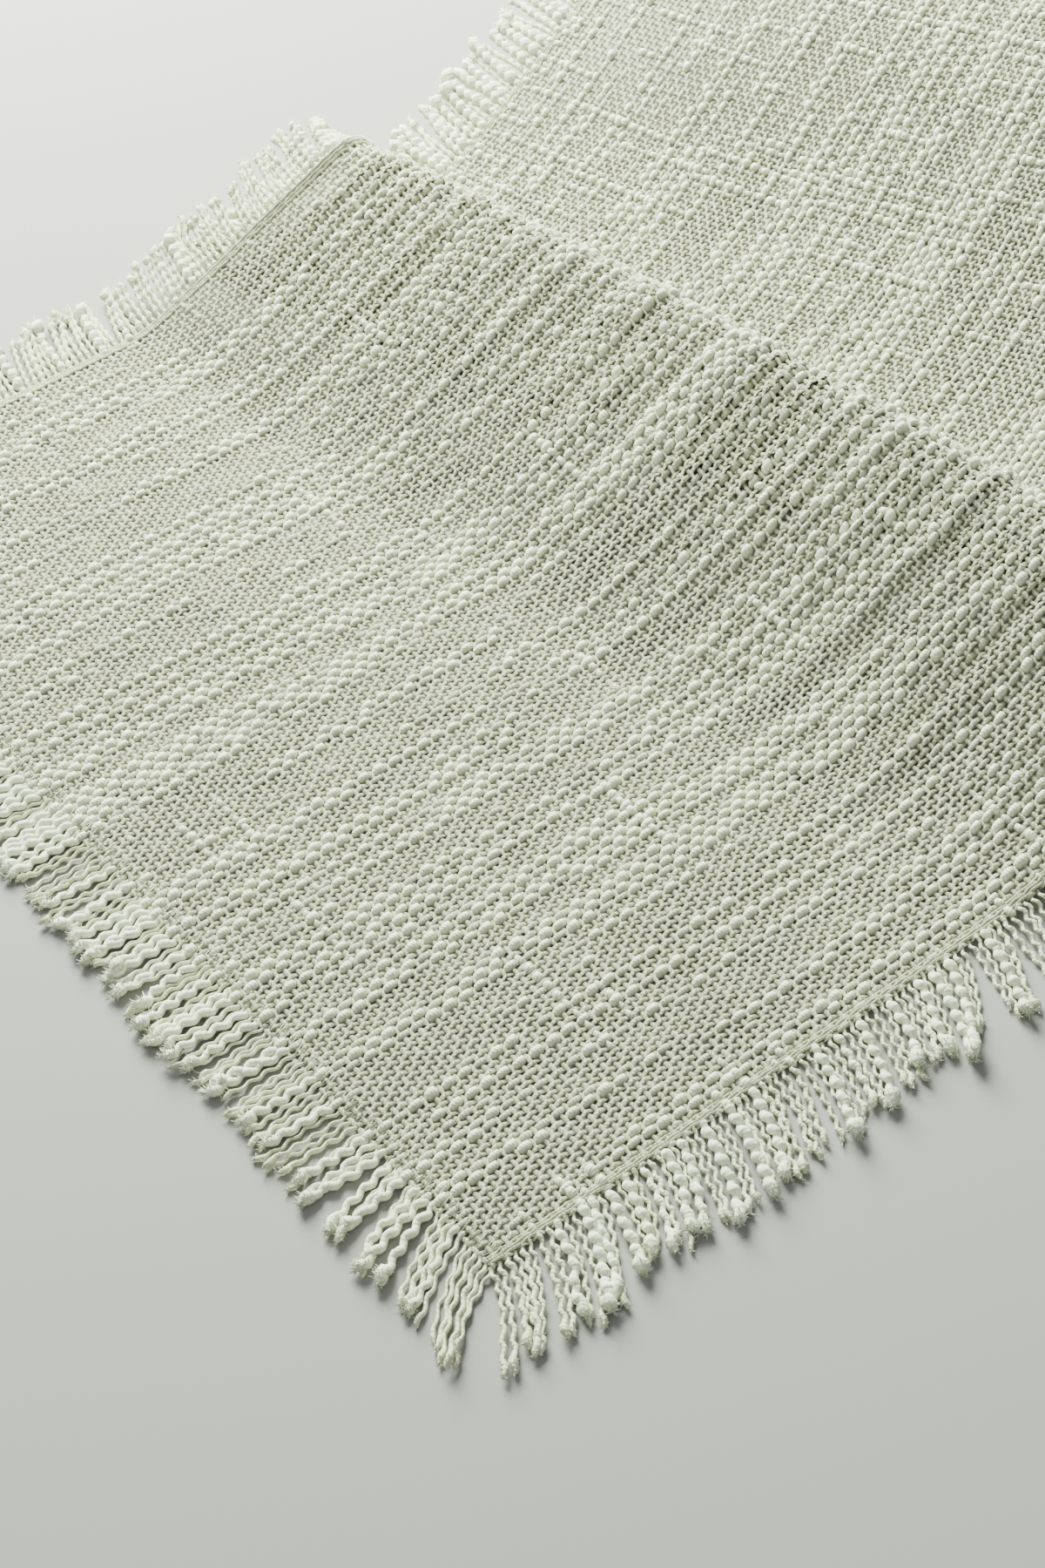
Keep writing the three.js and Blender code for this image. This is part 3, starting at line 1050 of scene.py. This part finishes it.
@dataclass
class EdgeStitching:
    """The fine thread that holds the edges: cords along the sides, and a zigzag at both ends."""

    surface: ClothSurface
    cord_places: tuple[float, ...] = (-0.1, 0.75, 1.6)
    cord_half: float = 0.47
    cord_step: float = 2.464
    thread_half: float = 0.17
    stitch_pitch: float = 2.7
    stitch_depth: float = 3.6
    batch: MeshBatch = field(default_factory=MeshBatch, repr=False)

    def build(self) -> bpy.types.Object:
        """Sews the four edges.

        Returns:
            The piece.
        """
        length, width = self.surface.length, self.surface.width
        draw = np.random.default_rng(71)
        along = np.arange(-1.5, length + 1.5, self.cord_step / 2)
        for side in (0.0, width):
            for place in self.cord_places:
                inward = place if side == 0 else -place
                turns = along / self.cord_step * math.pi
                stray = 0.14 * np.sin(turns + draw.uniform(0, math.tau)) + draw.normal(0, 0.05, len(along))
                height = 0.58 - 0.06 * place + 0.15 * np.cos(turns + draw.uniform(0, math.tau))
                self._line(along, side + inward + stray, height, self.cord_half, 0.45)
        across = np.arange(0.5, width - 0.5, self.stitch_pitch)
        for end, way in ((0.0, 1.0), (length, -1.0)):
            for start in across:
                depth = self.stitch_depth * draw.uniform(0.75, 1.1)
                place = start + np.array([0.0, 0.45, 0.9]) * self.stitch_pitch * draw.uniform(0.8, 1.1)
                out = end + way * np.array([-1.2, depth, -1.2])
                self._line(out, place, np.array([0.2, 1.25, 0.2]), self.thread_half, 1.0)
        return self.batch.build("edge_stitching")

    def _line(self, along: np.ndarray, across: np.ndarray, height: np.ndarray, half: float,
              tone: float) -> None:
        """Adds a thread with three sides.

        Args:
            along: The places of its points along the cloth.
            across: Their places across it.
            height: Their heights out of its middle layer.
            half: Half its thickness.
            tone: How light it is.
        """
        centre = self.surface.place(along, across, height)
        ahead = np.gradient(centre, axis=0)
        ahead /= np.linalg.norm(ahead, axis=1, keepdims=True)
        out = self.surface.place(along, across, height + 1) - centre
        aside = np.cross(out, ahead)
        aside /= np.linalg.norm(aside, axis=1, keepdims=True)
        section = ((-1.0, -0.6), (1.0, -0.6), (0.0, 1.0))
        points = np.stack([centre + half * (s * aside + t * out) for s, t in section], axis=1)
        rows = len(centre)
        index, _, quads = tube_faces(rows, len(section))
        caps = np.stack([index[0, ::-1], index[-1]])
        walked = np.broadcast_to((along + across)[:, None], (rows, 3))
        uv = np.stack([walked, np.broadcast_to(np.array([0, 0.67, 0.33]), (rows, 3))], axis=-1)
        # Painted shade: each thread is light along its top edge and darker along its two lower edges.
        shade = np.broadcast_to(np.array([0.55, 0.55, 1.0]), (rows, 3)).ravel()
        self.batch.add(points.reshape(-1, 3), uv.reshape(-1, 2), np.array(tone), shade, [quads, caps])


@dataclass(frozen=True)
class CottonFinish:
    """Matt cream cotton: colours of slub and of fine yarn, the painted shade colour for the crevices, twist
    and fuzz.
    """

    name: str
    slub: tuple[float, float, float]
    fine: tuple[float, float, float]
    painted_crevice_shade: tuple[float, float, float]
    roughness: float = 0.92
    sheen: float = 0.15
    twist_pitch: float = 0.95
    twist_depth: float = 0.25
    fuzz_depth: float = 0.30
    fuzz_scale: float = 1600.0

    def build(self) -> bpy.types.Material:
        """Makes the material.

        Returns:
            The new material.
        """
        material = bpy.data.materials.new(self.name)
        material.use_nodes = True
        nodes, links = material.node_tree.nodes, material.node_tree.links
        shader = nodes["Principled BSDF"]
        shader.inputs["Roughness"].default_value = self.roughness
        shader.inputs["Sheen Weight"].default_value = self.sheen
        shader.inputs["Sheen Roughness"].default_value = 0.5
        shader.inputs["Specular IOR Level"].default_value = 0.25
        tone = nodes.new("ShaderNodeAttribute")
        tone.attribute_name = "tone"
        shade = nodes.new("ShaderNodeAttribute")
        shade.attribute_name = "shade"
        place = nodes.new("ShaderNodeTexCoord")
        patches = nodes.new("ShaderNodeTexNoise")
        patches.inputs["Scale"].default_value = 22.0
        patches.inputs["Detail"].default_value = 3.0
        links.new(place.outputs["Object"], patches.inputs["Vector"])
        ridge = nodes.new("ShaderNodeMix")
        ridge.data_type = "RGBA"
        ridge.inputs["A"].default_value = (*self.fine, 1)
        ridge.inputs["B"].default_value = (*self.slub, 1)
        links.new(tone.outputs["Fac"], ridge.inputs["Factor"])
        # Painted shade: the colour is mixed towards the dark crevice colour where the shade attribute is low.
        colour = nodes.new("ShaderNodeMix")
        colour.data_type = "RGBA"
        colour.inputs["A"].default_value = (*self.painted_crevice_shade, 1)
        links.new(ridge.outputs["Result"], colour.inputs["B"])
        links.new(shade.outputs["Fac"], colour.inputs["Factor"])
        light = nodes.new("ShaderNodeMapRange")
        light.inputs["From Min"].default_value = 0.3
        light.inputs["From Max"].default_value = 0.7
        light.inputs["To Min"].default_value = 0.94
        light.inputs["To Max"].default_value = 1.03
        links.new(patches.outputs["Fac"], light.inputs["Value"])
        tinted = nodes.new("ShaderNodeVectorMath")
        tinted.operation = "SCALE"
        links.new(colour.outputs["Result"], tinted.inputs["Vector"])
        links.new(light.outputs["Result"], tinted.inputs["Scale"])
        links.new(tinted.outputs["Vector"], shader.inputs["Base Color"])
        links.new(self._relief(nodes, links, place).outputs["Normal"], shader.inputs["Normal"])
        return material

    def _relief(self, nodes: bpy.types.Nodes, links: bpy.types.NodeLinks,
                place: bpy.types.Node) -> bpy.types.Node:
        """Adds the twist of the two plies and the fuzz of the fibres.

        Args:
            nodes: The material's nodes.
            links: The material's links.
            place: The texture coordinates.

        Returns:
            The last bump node.
        """
        yarn = nodes.new("ShaderNodeUVMap")
        yarn.uv_map = "yarn"
        parts = nodes.new("ShaderNodeSeparateXYZ")
        links.new(yarn.outputs["UV"], parts.inputs["Vector"])
        turns = nodes.new("ShaderNodeMath")
        turns.operation = "MULTIPLY_ADD"
        turns.inputs[1].default_value = 1 / self.twist_pitch
        links.new(parts.outputs["X"], turns.inputs[0])
        links.new(parts.outputs["Y"], turns.inputs[2])
        angle = nodes.new("ShaderNodeMath")
        angle.operation = "MULTIPLY"
        angle.inputs[1].default_value = math.tau
        links.new(turns.outputs["Value"], angle.inputs[0])
        wave = nodes.new("ShaderNodeMath")
        wave.operation = "SINE"
        links.new(angle.outputs["Value"], wave.inputs[0])
        twist = nodes.new("ShaderNodeBump")
        twist.inputs["Strength"].default_value = self.twist_depth
        twist.inputs["Distance"].default_value = 0.0002
        links.new(wave.outputs["Value"], twist.inputs["Height"])
        fibres = nodes.new("ShaderNodeTexNoise")
        fibres.inputs["Scale"].default_value = self.fuzz_scale
        fibres.inputs["Detail"].default_value = 2.0
        links.new(place.outputs["Object"], fibres.inputs["Vector"])
        fuzz = nodes.new("ShaderNodeBump")
        fuzz.inputs["Strength"].default_value = self.fuzz_depth
        fuzz.inputs["Distance"].default_value = 0.0003
        links.new(fibres.outputs["Fac"], fuzz.inputs["Height"])
        links.new(twist.outputs["Normal"], fuzz.inputs["Normal"])
        return fuzz


# The crevice colours are painted shade for the hollows between, beside and under the yarns.
WOVEN_FINISH = CottonFinish(
    "woven cotton", slub=(0.95, 1.0, 0.78), fine=(0.725, 0.73, 0.475), painted_crevice_shade=(0.05, 0.038, 0.006)
)
RAVELLED_FINISH = CottonFinish(
    "ravelled cotton", slub=(0.93, 0.98, 0.78), fine=(0.79, 0.81, 0.56), painted_crevice_shade=(0.16, 0.13, 0.03)
)


@dataclass
class Studio:
    """The plain floor, the soft light and the camera."""

    camera_place: tuple[float, float, float] = (-0.62149, -0.55086, 0.536)
    camera_turn: float = -35.471
    camera_tilt: float = 44.291
    camera_roll: float = -3.798
    lens: float = 64.66
    floor_size: float = 6.0
    floor_colour: tuple[float, float, float] = (0.36, 0.355, 0.345)

    def build(self) -> None:
        """Makes the floor, the lights and the camera."""
        self._floor()
        self._light("key", place=(0.02, 0.80, 0.57), size=0.7, power=85.0, colour=(0.92, 1.0, 0.865))
        self._light("fill", place=(-1.6, -1.1, 1.5), size=2.2, power=5.0, colour=(0.95, 0.98, 1.0))
        world = bpy.data.worlds.new("studio")
        world.use_nodes = True
        sky = world.node_tree.nodes["Background"]
        sky.inputs["Color"].default_value = (0.93, 0.98, 0.97, 1)
        sky.inputs["Strength"].default_value = 0.33
        bpy.context.scene.world = world
        data = bpy.data.cameras.new("camera")
        data.lens = self.lens
        data.sensor_width = 36.0
        data.sensor_fit = "AUTO"
        data.clip_start = 0.01
        camera = bpy.data.objects.new("camera", data)
        turn = (
            Matrix.Rotation(math.radians(self.camera_turn), 4, "Z")
            @ Matrix.Rotation(math.radians(self.camera_tilt), 4, "X")
            @ Matrix.Rotation(math.radians(self.camera_roll), 4, "Z")
        )
        camera.matrix_world = Matrix.Translation(Vector(self.camera_place)) @ turn
        bpy.context.scene.collection.objects.link(camera)
        bpy.context.scene.camera = camera

    def _floor(self) -> None:
        """Lays the pale floor."""
        bpy.ops.mesh.primitive_plane_add(size=self.floor_size, location=(0, 0, 0))
        floor = bpy.context.object
        floor.name = "floor"
        material = bpy.data.materials.new("floor")
        material.use_nodes = True
        shader = material.node_tree.nodes["Principled BSDF"]
        shader.inputs["Base Color"].default_value = (*self.floor_colour, 1)
        shader.inputs["Roughness"].default_value = 0.8
        floor.data.materials.append(material)

    def _light(self, name: str, place: tuple[float, float, float], size: float, power: float,
               colour: tuple[float, float, float]) -> None:
        """Hangs a soft square light that faces the runner."""
        data = bpy.data.lights.new(name, "AREA")
        data.shape = "SQUARE"
        data.size = size
        data.energy = power
        data.color = colour
        light = bpy.data.objects.new(name, data)
        light.location = place
        light.rotation_euler = (-Vector(place)).to_track_quat("-Z", "Y").to_euler()
        bpy.context.scene.collection.objects.link(light)


def finish_piece(piece: bpy.types.Object, material: bpy.types.Material, slot: Slot, *nodes: str) -> None:
    """Dresses a piece and fastens it to the frame.

    Args:
        piece: The piece.
        material: Its finish.
        slot: The record's slot of that finish. It is not used.
        nodes: The names of the solids that it stands for.
    """
    piece.data.materials.append(material)
    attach(piece, "root")
    if nodes:
        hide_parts(*nodes)
    triangles = sum(len(polygon.vertices) - 2 for polygon in piece.data.polygons)
    LOG.info("%s: %d triangles", piece.name, triangles)


def main() -> None:
    """Builds the runner and its studio."""
    logging.basicConfig(level=logging.INFO, format="%(name)s: %(message)s")
    for item in bpy.context.selected_objects:
        item.select_set(False)
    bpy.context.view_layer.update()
    Studio().build()
    surface = ClothSurface()
    plan = YarnPlan(surface)
    woven, ravelled = WOVEN_FINISH.build(), RAVELLED_FINISH.build()
    weave = GroundWeave(surface, plan)
    lengthwise = weave.build(Run.LENGTHWISE)
    crosswise = weave.build(Run.CROSSWISE)
    finish_piece(lengthwise, woven, Slot.WOVEN, "cloth")
    finish_piece(crosswise, woven, Slot.WOVEN, "cloth")
    puffs = SlubPuffs(surface, plan)
    for run in Run:
        piece = puffs.build(run)
        finish_piece(piece, woven, Slot.WOVEN)
    stitching = EdgeStitching(surface).build()
    finish_piece(stitching, ravelled, Slot.RAVELLED)
    for edge in Edge:
        piece = Fringe(surface, plan, edge).build()
        finish_piece(piece, ravelled, Slot.RAVELLED, edge.value)


if __name__ == "__main__":
    main()
